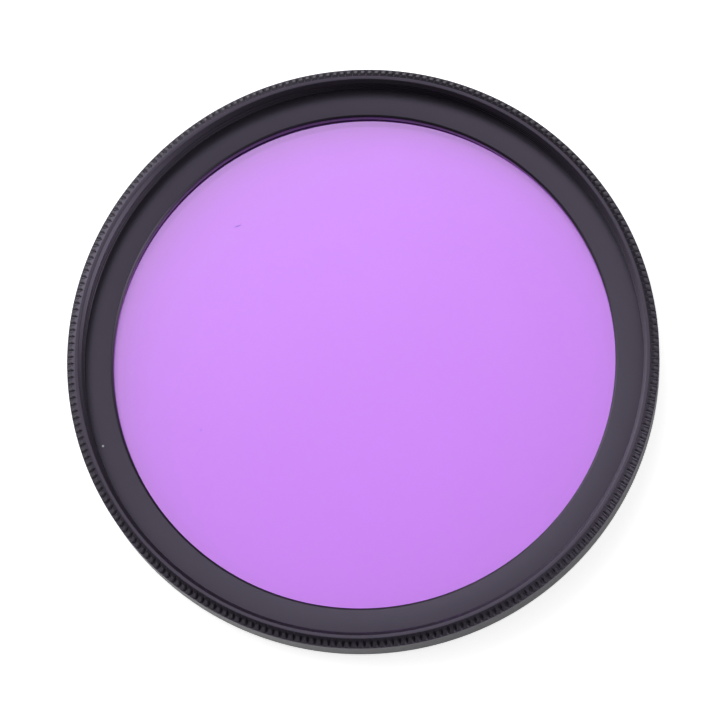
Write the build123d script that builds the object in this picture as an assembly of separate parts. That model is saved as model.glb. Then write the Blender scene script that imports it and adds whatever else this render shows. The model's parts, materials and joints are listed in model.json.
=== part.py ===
from build123d import *
import os
from math import atan2, cos, degrees, pi, radians, tan

# Screw-in color effect filter for a 52 mm lens mount, in millimetres.
# The optical axis is Z and the front looks along +Z.
# The origin lies on the axis, in the plane of the rear end that the filter stands on.

# Mount threads, 52 mm across and 0.75 mm in pitch, front and rear
thread_diameter = 52.0
thread_pitch = 0.75
thread_allowance = 0.05
rear_thread_length = 2.1
thread_lead_in = 0.35

# Height along the axis, from the rear end to the front face
ring_recess = 0.2
retainer_height = 1.0
glass_thickness = 1.5
shoulder_thickness = 0.9
socket_depth = 2.5

# Radial widths of the rim, from the front thread outwards
mouth_chamfer = 0.3
face_ring_width = 0.3
upper_bevel_width = 0.33
lower_bevel_width = 0.436
band_step = 0.04
flange_edge_break = 0.12

# Radial widths from the front thread inwards
shoulder_width = 2.6
glass_seat_width = 1.0
glass_clearance = 0.1
glass_proud = 0.1
glass_bevel = 0.15
retainer_step = 0.4
retainer_clearance = 0.05
retainer_width = 1.1
retainer_chamfer = 0.2

# Knurl on the two bevels of the front edge
upper_bevel_height = 0.15
lower_bevel_height = 0.57
knurl_count = 262
knurl_depth = 0.27
knurl_angle = 68.0
knurl_margin = 0.03

# Two notches for a spanner in the retaining ring
notch_count = 2
notch_width = 1.2
notch_depth = 0.5

# Thread radii of a metric profile
internal_minor_radius = thread_diameter / 2 - 0.5413 * thread_pitch
external_major_radius = thread_diameter / 2 - thread_allowance

# Heights of the seats and faces
retainer_base = ring_recess
glass_base = retainer_base + retainer_height
seat_height = glass_base + glass_thickness
shoulder_height = seat_height + shoulder_thickness
front_height = shoulder_height + socket_depth
bevel_height = front_height - upper_bevel_height
band_height = bevel_height - lower_bevel_height
flange_height = rear_thread_length

# Radii of the walls
mouth_radius = internal_minor_radius + mouth_chamfer
face_edge_radius = mouth_radius + face_ring_width
bevel_radius = face_edge_radius + upper_bevel_width
crest_radius = bevel_radius + lower_bevel_width
body_radius = crest_radius + band_step
aperture_radius = internal_minor_radius - shoulder_width
glass_radius = aperture_radius + glass_seat_width
pocket_radius = glass_radius + glass_clearance
retainer_bore_radius = pocket_radius + retainer_step
retainer_radius = retainer_bore_radius - retainer_clearance
retainer_inner_radius = retainer_radius - retainer_width


def turned_outside():
    """The outer form below the knurl: wall of the male thread, flange and smooth band."""
    corners = [
        (0, 0),
        (external_major_radius - thread_lead_in, 0),
        (external_major_radius, thread_lead_in),
        (external_major_radius, flange_height),
        (body_radius - flange_edge_break, flange_height),
        (body_radius, flange_height + flange_edge_break),
        (body_radius, band_height),
        (0, band_height),
    ]
    return revolve(Plane.XZ * Polygon(*corners, align=None), Axis.Z, 360)


def turned_inside():
    """The space inside the frame: socket for the front thread, aperture, glass pocket and rear bore.

    The glass stands a little proud of its pocket, so the retaining ring presses on it.
    """
    corners = [
        (0, 0),
        (retainer_bore_radius, 0),
        (retainer_bore_radius, glass_base + glass_proud),
        (pocket_radius, glass_base + glass_proud),
        (pocket_radius, seat_height),
        (aperture_radius, seat_height),
        (aperture_radius, shoulder_height),
        (internal_minor_radius, shoulder_height),
        (internal_minor_radius, front_height - mouth_chamfer),
        (mouth_radius, front_height),
        (0, front_height),
    ]
    return revolve(Plane.XZ * Polygon(*corners, align=None), Axis.Z, 360)


def bevel(base_radius, top_radius, height):
    """One bevel of the knurled edge, with a flat land for each tooth."""
    land_inset = (base_radius - top_radius) * cos(pi / knurl_count)
    taper = degrees(atan2(land_inset, height))
    return extrude(RegularPolygon(base_radius, knurl_count), amount=height, taper=taper)


def knurl_cutter():
    """One V groove: it starts beside the face ring, deepens outwards and stops at the band."""
    start_radius = face_edge_radius + knurl_margin
    start_drop = knurl_margin * upper_bevel_height / upper_bevel_width
    start = Vector(start_radius, 0, front_height - start_drop)
    stop = Vector(crest_radius - knurl_depth, 0, band_height)
    run = stop - start
    reach = run.length
    half_width = reach * tan(radians(knurl_angle / 2))
    groove = Plane(origin=start - run, x_dir=(0, 1, 0), z_dir=run)
    section = groove * Polygon((0, 0), (half_width, reach), (-half_width, reach), align=None)
    prism = extrude(section, amount=4 * reach)
    below = Pos(0, 0, band_height - body_radius) * Box(4 * body_radius, 4 * body_radius, 2 * body_radius)
    return prism - below


def filter_frame():
    lower = Pos(0, 0, band_height) * bevel(crest_radius, bevel_radius, lower_bevel_height)
    upper = Pos(0, 0, bevel_height) * bevel(bevel_radius, face_edge_radius, upper_bevel_height)
    groove = knurl_cutter()
    grooves = [Rot(0, 0, 360 * i / knurl_count) * groove for i in range(knurl_count)]
    return (turned_outside() + lower + upper) - turned_inside() - grooves


def color_glass():
    disc = Pos(0, 0, glass_base + glass_thickness / 2) * Cylinder(glass_radius, glass_thickness)
    return chamfer(disc.edges(), glass_bevel)


def retaining_ring():
    section = Polygon(
        (retainer_inner_radius, retainer_base),
        (retainer_radius - retainer_chamfer, retainer_base),
        (retainer_radius, retainer_base + retainer_chamfer),
        (retainer_radius, glass_base),
        (retainer_inner_radius, glass_base),
        align=None,
    )
    ring = revolve(Plane.XZ * section, Axis.Z, 360)
    notch = Pos(retainer_radius, 0, retainer_base) * Box(4 * retainer_width, notch_width, 2 * notch_depth)
    return ring - [Rot(0, 0, 360 * i / notch_count) * notch for i in range(notch_count)]


os.makedirs("parts", exist_ok=True)
pieces = {
    "filter_frame": filter_frame(),
    "color_glass": color_glass(),
    "retaining_ring": retaining_ring(),
}
for name, piece in pieces.items():
    export_step(piece, f"parts/{name}.step")
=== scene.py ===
import json
from math import atan2, ceil, cos, pi, radians, sin, tau

import bmesh
import bpy
from mathutils import Matrix, Vector


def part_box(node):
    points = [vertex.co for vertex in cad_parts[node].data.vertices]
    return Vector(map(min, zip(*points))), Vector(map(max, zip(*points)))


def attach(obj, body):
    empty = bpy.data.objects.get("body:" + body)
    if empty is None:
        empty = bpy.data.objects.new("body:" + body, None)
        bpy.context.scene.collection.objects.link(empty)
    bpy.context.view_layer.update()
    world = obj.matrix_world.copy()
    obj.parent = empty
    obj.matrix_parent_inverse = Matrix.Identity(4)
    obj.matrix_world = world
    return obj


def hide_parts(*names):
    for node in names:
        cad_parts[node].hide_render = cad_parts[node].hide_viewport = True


# Screw-in color effect filter: a black anodised frame, a purple glass and the ring that holds it.
# It lies on its rear end with its front up. Sizes are in metres, and MM turns millimetres into them.

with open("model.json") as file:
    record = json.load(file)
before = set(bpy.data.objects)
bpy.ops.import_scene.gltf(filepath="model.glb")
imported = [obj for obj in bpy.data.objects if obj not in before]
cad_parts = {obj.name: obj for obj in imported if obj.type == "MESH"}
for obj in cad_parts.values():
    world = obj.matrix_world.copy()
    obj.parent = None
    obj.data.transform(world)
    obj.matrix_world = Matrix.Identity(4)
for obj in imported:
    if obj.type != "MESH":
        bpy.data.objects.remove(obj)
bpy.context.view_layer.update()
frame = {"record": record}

MM = 0.001

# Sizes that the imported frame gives
mounts = {mount["name"]: mount for mount in frame["record"]["mounts"]}
front_minor_radius = mounts["front_thread"]["dims"]["r_mm"] * MM
rear_major_radius = mounts["rear_thread"]["dims"]["r_mm"] * MM
flange_z = mounts["flange_seat"]["pos_m"][2]
frame_low, frame_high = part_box("filter_frame")
glass_low, glass_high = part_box("color_glass")
ring_low, ring_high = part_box("retaining_ring")
body_radius = frame_high.x
front_z = frame_high.z
glass_radius = glass_high.x
ring_radius = ring_high.x

# Mount threads, front and rear
thread_pitch = 0.75 * MM
front_major_radius = front_minor_radius + 0.5413 * thread_pitch
rear_minor_radius = rear_major_radius - 0.6134 * thread_pitch
front_crest_share = 0.25
front_root_share = 0.125
rear_crest_share = 0.125
rear_root_share = 0.25
thread_lead_in = 0.35 * MM
thread_relief = 0.3 * MM
thread_fade = 0.3 * MM

# Front rim, from the thread outwards
mouth_chamfer = 0.3 * MM
face_ring_width = 0.3 * MM
upper_bevel_width = 0.33 * MM
lower_bevel_width = 0.436 * MM
upper_bevel_height = 0.15 * MM
lower_bevel_height = 0.57 * MM
flange_edge_break = 0.12 * MM
edge_ease = 0.04 * MM

# Knurl
knurl_count = 262
knurl_margin = 0.03 * MM
groove_width = 0.4 * MM
groove_depth = 0.27 * MM
groove_end_depth = 0.08 * MM
groove_run_out = 0.25 * MM
groove_bottom_share = 0.2

# Inside of the frame
shoulder_thickness = 0.9 * MM
shoulder_width = 2.6 * MM
aperture_bevel = 0.18 * MM
glass_clearance = 0.1 * MM
glass_proud = 0.1 * MM
glass_bevel = 0.15 * MM
retainer_step = 0.4 * MM

# Retaining ring
ring_width = 1.1 * MM
ring_chamfer = 0.2 * MM
notch_width = 1.2 * MM
notch_depth = 0.5 * MM

# Heights and radii worked out from these
seat_z = glass_high.z
shoulder_z = seat_z + shoulder_thickness
bevel_z = front_z - upper_bevel_height
band_z = bevel_z - lower_bevel_height
mouth_radius = front_minor_radius + mouth_chamfer
face_edge_radius = mouth_radius + face_ring_width
bevel_radius = face_edge_radius + upper_bevel_width
crest_radius = bevel_radius + lower_bevel_width
aperture_radius = front_minor_radius - shoulder_width
pocket_radius = glass_radius + glass_clearance
bore_radius = pocket_radius + retainer_step
groove_tip_z = front_z - knurl_margin * upper_bevel_height / upper_bevel_width

shoulder_mm = shoulder_z / MM
glass_top_mm = glass_high.z / MM

# Surface of the metal, and how the meshes are divided and joined
turning_mark_depth = 0.003 * MM
columns = 2 * knurl_count
weld_distance = 0.001 * MM
sharp_angle = radians(20)


def add_chain(bm, points):
    """An open outline in the XZ plane. A point with a third value is an eased corner of that size."""
    chain = [bm.verts.new((point[0], 0, point[1])) for point in points]
    for start, stop in zip(chain, chain[1:]):
        bm.edges.new((start, stop))
    eases = sorted({point[2] for point in points if len(point) > 2})
    for ease in eases:
        corners = [vert for vert, point in zip(chain, points) if len(point) > 2 and point[2] == ease]
        bmesh.ops.bevel(bm, geom=corners, offset=ease, offset_type="OFFSET", segments=3,
                        profile=0.5, affect="VERTICES", material=-1)


def turned(points):
    """An outline turned into a full ring round the optical axis."""
    bm = bmesh.new()
    add_chain(bm, points)
    bmesh.ops.spin(bm, geom=bm.verts[:] + bm.edges[:], cent=(0, 0, 0), axis=(0, 0, 1), angle=tau,
                   steps=columns, use_merge=True, use_duplicate=False)
    return bm


def add_section(bm, section):
    """Adds a section that was made by itself, which is much quicker than turning it in a large mesh."""
    mesh = bpy.data.meshes.new("section")
    section.to_mesh(mesh)
    section.free()
    bm.from_mesh(mesh)
    bpy.data.meshes.remove(mesh)


def thread_depth(phase, crest_share, root_share):
    """How deep the thread is cut at a place in its pitch, from 0 on the crest to 1 on the root."""
    flank_share = (1 - crest_share - root_share) / 2
    if phase < crest_share:
        return 0.0
    if phase < crest_share + flank_share:
        return (phase - crest_share) / flank_share
    if phase < crest_share + flank_share + root_share:
        return 1.0
    return (1 - phase) / flank_share


def screw_thread(low, high, crest_share, root_share, wall):
    """A right-hand screw thread between two heights. wall(z, depth) gives its radius."""
    flank_share = (1 - crest_share - root_share) / 2
    crest_end = crest_share
    root_start = crest_end + flank_share
    root_end = root_start + root_share
    corners = [0, crest_end / 2, crest_end, (crest_end + root_start) / 2,
               root_start, (root_start + root_end) / 2, root_end, (root_end + 1) / 2]
    turns = ceil((high - low) / thread_pitch) + 1
    base = low - thread_pitch
    heights = [base + (turn_number + corner) * thread_pitch
               for turn_number in range(turns) for corner in corners]
    heights.append(base + turns * thread_pitch)
    bm = bmesh.new()
    column = [bm.verts.new((front_minor_radius, 0, height)) for height in heights]
    edges = [bm.edges.new(pair) for pair in zip(column, column[1:])]
    bmesh.ops.spin(bm, geom=column + edges, cent=(0, 0, 0), axis=(0, 0, 1), angle=tau, steps=columns,
                   dvec=(0, 0, thread_pitch / columns), use_merge=False, use_duplicate=False)
    for vert in bm.verts:
        angle = atan2(vert.co.y, vert.co.x)
        height = min(max(vert.co.z, low), high)
        phase = ((height - base) / thread_pitch - angle / tau) % 1
        radius = wall(height, thread_depth(phase, crest_share, root_share))
        vert.co = (radius * cos(angle), radius * sin(angle), height)
    return bm


def smooth_step(value):
    value = min(max(value, 0), 1)
    return value * value * (3 - 2 * value)


def front_thread_wall(z, depth):
    above_shoulder = smooth_step((z - shoulder_z) / thread_fade)
    below_mouth = smooth_step((front_z - mouth_chamfer - z) / thread_fade)
    depth = depth * above_shoulder * below_mouth
    return front_minor_radius + (front_major_radius - front_minor_radius) * depth


def rear_thread_wall(z, depth):
    fade = smooth_step(z / (thread_fade / 2))
    relief = smooth_step((z - (flange_z - thread_relief - thread_fade)) / thread_fade)
    depth = max(depth * fade, relief)
    chamfer_radius = rear_major_radius - thread_lead_in + z
    return min(rear_major_radius - (rear_major_radius - rear_minor_radius) * depth, chamfer_radius)


def land_radius(z):
    """Radius of the knurl's flat lands at a height between the band and the front face."""
    if z < bevel_z:
        return crest_radius - lower_bevel_width * (z - band_z) / lower_bevel_height
    return bevel_radius - upper_bevel_width * (z - bevel_z) / upper_bevel_height


def groove_share(z):
    """Share of its full width and depth that a groove has: all on the lower bevel, none at its tip."""
    return min(max((groove_tip_z - z) / (groove_tip_z - bevel_z), 0), 1)


def knurl():
    """The knurled edge: one groove with half a land on each side, repeated all round."""
    bm = bmesh.new()
    half_pitch = pi / knurl_count
    full_z = band_z + groove_run_out
    heights = [band_z, band_z, full_z, (full_z + bevel_z) / 2, bevel_z, (bevel_z + groove_tip_z) / 2,
               groove_tip_z, front_z]
    rows = len(heights) - 1
    tile = bmesh.ops.create_grid(bm, x_segments=6, y_segments=rows, size=1)["verts"]
    for vert in tile:
        place = round((vert.co.x + 1) * 3) - 3
        row = round((vert.co.y + 1) / 2 * rows)
        z = heights[row]
        land = body_radius if row == 0 else land_radius(z)
        share = 0 if row in (0, rows) else groove_share(z)
        depth = groove_end_depth if row == 1 else groove_depth * share
        half_width = groove_width / 2 * share / land
        angle = {0: 0, 1: half_width * groove_bottom_share, 2: half_width, 3: half_pitch}[abs(place)]
        radius = land if abs(place) >= 2 else land - depth
        angle = angle if place > 0 else -angle
        vert.co = (radius * cos(angle), radius * sin(angle), z)
    bmesh.ops.spin(bm, geom=bm.verts[:] + bm.edges[:] + bm.faces[:], cent=(0, 0, 0), axis=(0, 0, 1),
                   angle=tau * (knurl_count - 1) / knurl_count, steps=knurl_count - 1,
                   use_merge=False, use_duplicate=True)
    return bm


def finish_piece(bm, name, node):
    """Welds a piece's seams, points its faces outwards and puts it in the scene for its node."""
    bmesh.ops.remove_doubles(bm, verts=bm.verts[:], dist=weld_distance)
    bmesh.ops.dissolve_degenerate(bm, edges=bm.edges[:], dist=weld_distance / 10)
    bmesh.ops.recalc_face_normals(bm, faces=bm.faces[:])
    mesh = bpy.data.meshes.new(name)
    bm.to_mesh(mesh)
    bm.free()
    mesh.polygons.foreach_set("use_smooth", [True] * len(mesh.polygons))
    mesh.set_sharp_from_angle(angle=sharp_angle)
    piece = bpy.data.objects.new(name, mesh)
    bpy.context.scene.collection.objects.link(piece)
    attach(piece, "root")
    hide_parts(node)
    return piece


def knurled_frame():
    bm = bmesh.new()
    rim = [
        (face_edge_radius, front_z),
        (mouth_radius, front_z, edge_ease),
        (front_minor_radius, front_z - mouth_chamfer),
    ]
    inside = [
        (front_minor_radius, shoulder_z),
        (aperture_radius + aperture_bevel, shoulder_z, edge_ease),
        (aperture_radius, shoulder_z - aperture_bevel, edge_ease),
        (aperture_radius, seat_z, edge_ease),
        (pocket_radius, seat_z),
        (pocket_radius, glass_low.z + glass_proud, edge_ease),
        (bore_radius, glass_low.z + glass_proud),
        (bore_radius, 0, edge_ease),
        (rear_major_radius - thread_lead_in, 0),
    ]
    outside = [
        (rear_minor_radius, flange_z),
        (body_radius - flange_edge_break, flange_z),
        (body_radius, flange_z + flange_edge_break),
        (body_radius, band_z),
    ]
    front_thread = screw_thread(shoulder_z, front_z - mouth_chamfer,
                                front_crest_share, front_root_share, front_thread_wall)
    rear_thread = screw_thread(0, flange_z, rear_crest_share, rear_root_share, rear_thread_wall)
    for section in (turned(rim), turned(inside), turned(outside), front_thread, rear_thread, knurl()):
        add_section(bm, section)
    return finish_piece(bm, "knurled_frame", "filter_frame")


def purple_disc():
    bm = bmesh.new()
    bmesh.ops.create_circle(bm, cap_ends=True, segments=256, radius=glass_radius,
                            matrix=Matrix.Translation((0, 0, glass_low.z)))
    raised = bmesh.ops.extrude_face_region(bm, geom=bm.faces[:])["geom"]
    top = [item for item in raised if isinstance(item, bmesh.types.BMVert)]
    bmesh.ops.translate(bm, verts=top, vec=(0, 0, glass_high.z - glass_low.z))
    rim_edges = [edge for edge in bm.edges if abs(edge.verts[0].co.z - edge.verts[1].co.z) < weld_distance]
    bmesh.ops.bevel(bm, geom=rim_edges, offset=glass_bevel, offset_type="OFFSET", segments=1,
                    profile=0.5, affect="EDGES", material=-1)
    return finish_piece(bm, "purple_disc", "color_glass")


def rear_ring():
    inner_radius = ring_radius - ring_width
    section = [
        (inner_radius, ring_low.z, edge_ease),
        (ring_radius - ring_chamfer, ring_low.z),
        (ring_radius, ring_low.z + ring_chamfer),
        (ring_radius, ring_high.z, edge_ease),
        (inner_radius, ring_high.z, edge_ease),
    ]
    start = (inner_radius, (ring_low.z + ring_high.z) / 2)
    bm = turned([start] + section + [start])
    bmesh.ops.remove_doubles(bm, verts=bm.verts[:], dist=weld_distance)
    cut_notches(bm, inner_radius)
    return finish_piece(bm, "rear_ring", "retaining_ring")


def cut_notches(bm, inner_radius):
    """Two notches for a spanner, cut into the ring's rear face on X."""
    floor_z = ring_low.z + notch_depth
    planes = [((0, notch_width / 2, 0), (0, 1, 0)), ((0, -notch_width / 2, 0), (0, 1, 0)),
              ((0, 0, floor_z), (0, 0, 1))]
    for point, normal in planes:
        bmesh.ops.bisect_plane(bm, geom=bm.verts[:] + bm.edges[:] + bm.faces[:], dist=weld_distance / 10,
                               plane_co=point, plane_no=normal)
    cut = [face for face in bm.faces
           if face.calc_center_median().z < floor_z and abs(face.calc_center_median().y) < notch_width / 2]
    bmesh.ops.delete(bm, geom=cut, context="FACES")
    for side in (1, -1):
        floor_edges = [edge for edge in bm.edges
                       if edge.is_boundary and side * edge.verts[0].co.x > 0
                       and all(abs(vert.co.z - floor_z) < weld_distance for vert in edge.verts)]
        bmesh.ops.bridge_loops(bm, edges=floor_edges)
    bmesh.ops.holes_fill(bm, edges=[edge for edge in bm.edges if edge.is_boundary], sides=0)


def add_node(tree, kind, **settings):
    """A shader node with its settings and its inputs. An input is a value or another node's socket."""
    node = tree.nodes.new(kind)
    inputs = settings.pop("inputs", {})
    for name, value in settings.items():
        setattr(node, name, value)
    for name, value in inputs.items():
        if isinstance(value, bpy.types.NodeSocket):
            tree.links.new(value, node.inputs[name])
        else:
            node.inputs[name].default_value = value
    return node


def mix_tone(tree, factor, first, second):
    """Blends two colours. The mix node has sockets for each kind of value: 6 and 7 are its colours."""
    mix = add_node(tree, "ShaderNodeMix", data_type="RGBA", inputs={0: factor, 6: first, 7: second})
    return mix.outputs[2]


def new_material(name):
    material = bpy.data.materials.new(name)
    material.use_nodes = True
    material.node_tree.nodes.clear()
    return material, material.node_tree


def turning_marks(tree, position):
    """Fine marks of the lathe: noise along the radius on flat faces and along the axis on walls."""
    flat = add_node(tree, "ShaderNodeVectorMath", operation="MULTIPLY", inputs={0: position, 1: (1, 1, 0)})
    radius = add_node(tree, "ShaderNodeVectorMath", operation="LENGTH", inputs={0: flat.outputs[0]})
    parts = add_node(tree, "ShaderNodeSeparateXYZ", inputs={0: position})
    reach = add_node(tree, "ShaderNodeMath", operation="SUBTRACT",
                     inputs={0: radius.outputs["Value"], 1: parts.outputs["Z"]})
    marks = add_node(tree, "ShaderNodeTexNoise", noise_dimensions="1D",
                     inputs={"W": reach.outputs[0], "Scale": 14000, "Detail": 2, "Roughness": 0.6})
    return marks.outputs[0]


def speck(tree, place, centre, reach, turn=0):
    """A small mark: 1 inside it and 0 outside. Its place and half sizes are in millimetres."""
    local = add_node(tree, "ShaderNodeMapping", vector_type="TEXTURE",
                     inputs={"Vector": place, "Location": Vector(centre) * MM,
                             "Rotation": (0, 0, radians(turn)), "Scale": Vector(reach) * MM})
    distance = add_node(tree, "ShaderNodeVectorMath", operation="LENGTH", inputs={0: local.outputs["Vector"]})
    inside = add_node(tree, "ShaderNodeMapRange",
                      inputs={"Value": distance.outputs["Value"], "From Min": 1, "From Max": 0.5})
    return inside.outputs["Result"]


def anodised(name, dark, light, roughness):
    """Black anodised aluminium with fine turning marks, a slightly uneven tone and two pale specks."""
    material, tree = new_material(name)
    place = add_node(tree, "ShaderNodeTexCoord").outputs["Object"]
    cloud = add_node(tree, "ShaderNodeTexNoise", inputs={"Vector": place, "Scale": 400, "Detail": 4})
    tone = mix_tone(tree, cloud.outputs["Fac"], dark, light)
    dust = speck(tree, place, (-25.04, -0.13, shoulder_mm), (0.12, 0.12, 0.12))
    tone = mix_tone(tree, dust, tone, (0.6, 0.6, 0.6, 1))
    edge_tick = speck(tree, place, (18.85, 13.24, shoulder_mm), (0.15, 0.08, 0.1), 125)
    tone = mix_tone(tree, edge_tick, tone, (0.2, 0.2, 0.2, 1))
    marks = turning_marks(tree, place)
    gloss = add_node(tree, "ShaderNodeMapRange",
                     inputs={"Value": marks, "To Min": roughness - 0.05, "To Max": roughness + 0.05})
    bump = add_node(tree, "ShaderNodeBump",
                    inputs={"Height": marks, "Strength": 1, "Distance": turning_mark_depth})
    surface = add_node(tree, "ShaderNodeBsdfPrincipled",
                       inputs={"Base Color": tone, "Roughness": gloss.outputs["Result"],
                               "Normal": bump.outputs["Normal"], "IOR": 1.5,
                               "Specular Tint": (0.82, 0.72, 1, 1)})
    add_node(tree, "ShaderNodeOutputMaterial", inputs={"Surface": surface.outputs["BSDF"]})
    return material


def purple_glass():
    """Clear purple glass with three tiny marks on its front face: a stroke, a dark dot and a pale one."""
    material, tree = new_material("purple_filter_glass")
    place = add_node(tree, "ShaderNodeTexCoord").outputs["Object"]
    cloud = add_node(tree, "ShaderNodeTexNoise", inputs={"Vector": place, "Scale": 60, "Detail": 2})
    tone = mix_tone(tree, cloud.outputs["Fac"], (0.69, 0.305, 0.95, 1), (0.71, 0.320, 0.97, 1))
    stroke = speck(tree, place, (-7.15, 15.94, glass_top_mm), (0.45, 0.07, 0.1), 2)
    tone = mix_tone(tree, stroke, tone, (0.3, 0.1, 0.4, 1))
    dark_dot = speck(tree, place, (-16.1, -1.35, glass_top_mm), (0.09, 0.09, 0.1))
    tone = mix_tone(tree, dark_dot, tone, (0.3, 0.1, 0.4, 1))
    pale_dot = speck(tree, place, (-20.65, 5.81, glass_top_mm), (0.09, 0.09, 0.1))
    tone = mix_tone(tree, pale_dot, tone, (0.9, 0.7, 1, 1))
    surface = add_node(tree, "ShaderNodeBsdfPrincipled",
                       inputs={"Base Color": tone, "Roughness": 0.02, "IOR": 1.52,
                               "Transmission Weight": 1})
    add_node(tree, "ShaderNodeOutputMaterial", inputs={"Surface": surface.outputs["BSDF"]})
    return material


# White table: its size and the extra white that it shows to the camera, through glass and in gloss
table_half_width = 80 * MM
white_to_camera = 0.65
white_in_glass = 0.38
white_in_metal = 0.1


def studio_floor():
    """A white table that still takes the shadow of the filter."""
    bm = bmesh.new()
    bmesh.ops.create_grid(bm, x_segments=1, y_segments=1, size=table_half_width)
    mesh = bpy.data.meshes.new("studio_floor")
    bm.to_mesh(mesh)
    bm.free()
    floor = bpy.data.objects.new("studio_floor", mesh)
    bpy.context.scene.collection.objects.link(floor)
    material, tree = new_material("white_table")
    path = add_node(tree, "ShaderNodeLightPath")
    in_metal = add_node(tree, "ShaderNodeMath", operation="MULTIPLY",
                        inputs={0: path.outputs["Is Glossy Ray"], 1: white_in_metal})
    in_glass = add_node(tree, "ShaderNodeMath", operation="MULTIPLY_ADD",
                        inputs={0: path.outputs["Is Transmission Ray"], 1: white_in_glass,
                                2: in_metal.outputs[0]})
    white = add_node(tree, "ShaderNodeMath", operation="MULTIPLY_ADD",
                     inputs={0: path.outputs["Is Camera Ray"], 1: white_to_camera, 2: in_glass.outputs[0]})
    table = add_node(tree, "ShaderNodeBsdfPrincipled",
                     inputs={"Base Color": (0.85, 0.85, 0.85, 1), "Roughness": 0.9,
                             "Emission Color": (1, 1, 1, 1), "Emission Strength": 0})
    tree.links.new(white.outputs[0], table.inputs["Emission Strength"])
    add_node(tree, "ShaderNodeOutputMaterial", inputs={"Surface": table.outputs["BSDF"]})
    mesh.materials.append(material)


# Camera of the photograph: almost straight down, leaning towards -Y and turned about its axis
camera_distance = 409.2 * MM
camera_tilt = radians(13.47)
camera_roll = radians(-18.14)
camera_lens = 225
camera_shift_right = -0.164 * MM
camera_shift_up = -0.450 * MM
camera_target = Vector((0, 0, 5.354 * MM))


def studio_camera():
    back = Vector((0, -sin(camera_tilt), cos(camera_tilt)))
    across = Vector((1, 0, 0))
    along = back.cross(across)
    right = cos(camera_roll) * across + sin(camera_roll) * along
    up = cos(camera_roll) * along - sin(camera_roll) * across
    data = bpy.data.cameras.new("studio_camera")
    data.lens = camera_lens
    data.sensor_width = 36
    data.clip_start = 0.01
    camera = bpy.data.objects.new("studio_camera", data)
    bpy.context.scene.collection.objects.link(camera)
    place = camera_target + camera_shift_right * right + camera_shift_up * up + camera_distance * back
    axes = Matrix((right, up, back)).transposed()
    camera.matrix_world = Matrix.Translation(place) @ axes.to_4x4()
    bpy.context.scene.camera = camera


# Soft light round the filter: compass direction and height in degrees, tightness and strength
light_patches = {
    "overhead_right": (0, 76, 60, 2.0),
    "overhead_left": (180, 76, 60, 0.8),
    "high_behind": (90, 65, 60, 4.6),
    "wide_behind": (120, 48, 14, 2.8),
    "faint_front": (300, 48, 14, 0.5),
    "low_left": (135, 16, 10, 4.2),
    "low_right": (330, 16, 14, 4.6),
}


def glow(tree, direction, azimuth, elevation, tightness, strength):
    """A soft patch of light in the surroundings, brightest at a compass direction and a height."""
    flat = cos(radians(elevation))
    centre = (flat * cos(radians(azimuth)), flat * sin(radians(azimuth)), sin(radians(elevation)))
    toward = add_node(tree, "ShaderNodeVectorMath", operation="DOT_PRODUCT", inputs={0: direction, 1: centre})
    fall = add_node(tree, "ShaderNodeMath", operation="MULTIPLY_ADD",
                    inputs={0: toward.outputs["Value"], 1: tightness, 2: -tightness})
    soft = add_node(tree, "ShaderNodeMath", operation="EXPONENT", inputs={0: fall.outputs[0]})
    patch = add_node(tree, "ShaderNodeMath", operation="MULTIPLY", inputs={0: soft.outputs[0], 1: strength})
    return patch.outputs[0]


def studio_light():
    """Patches of soft light, strongest above and behind the filter and low at two sides."""
    world = bpy.data.worlds.new("studio")
    bpy.context.scene.world = world
    world.use_nodes = True
    tree = world.node_tree
    tree.nodes.clear()
    direction = add_node(tree, "ShaderNodeTexCoord").outputs["Generated"]
    total = 0
    for patch in light_patches.values():
        total = add_node(tree, "ShaderNodeMath", operation="ADD",
                         inputs={0: total, 1: glow(tree, direction, *patch)}).outputs[0]
    path = add_node(tree, "ShaderNodeLightPath")
    level = add_node(tree, "ShaderNodeMix", data_type="FLOAT",
                     inputs={0: path.outputs["Is Camera Ray"], 2: total, 3: 1})
    backdrop = add_node(tree, "ShaderNodeBackground",
                        inputs={"Color": (1, 1, 1, 1), "Strength": level.outputs[0]})
    add_node(tree, "ShaderNodeOutputWorld", inputs={"Surface": backdrop.outputs["Background"]})
    bpy.context.scene.view_settings.view_transform = "Standard"


metal = anodised("black_anodising", (0.015, 0.012, 0.017, 1), (0.021, 0.017, 0.024, 1), 0.32)
ring_metal = anodised("matt_black_anodising", (0.016, 0.016, 0.018, 1), (0.021, 0.021, 0.023, 1), 0.45)
knurled_frame().data.materials.append(metal)
purple_disc().data.materials.append(purple_glass())
rear_ring().data.materials.append(ring_metal)

studio_floor()
studio_camera()
studio_light()
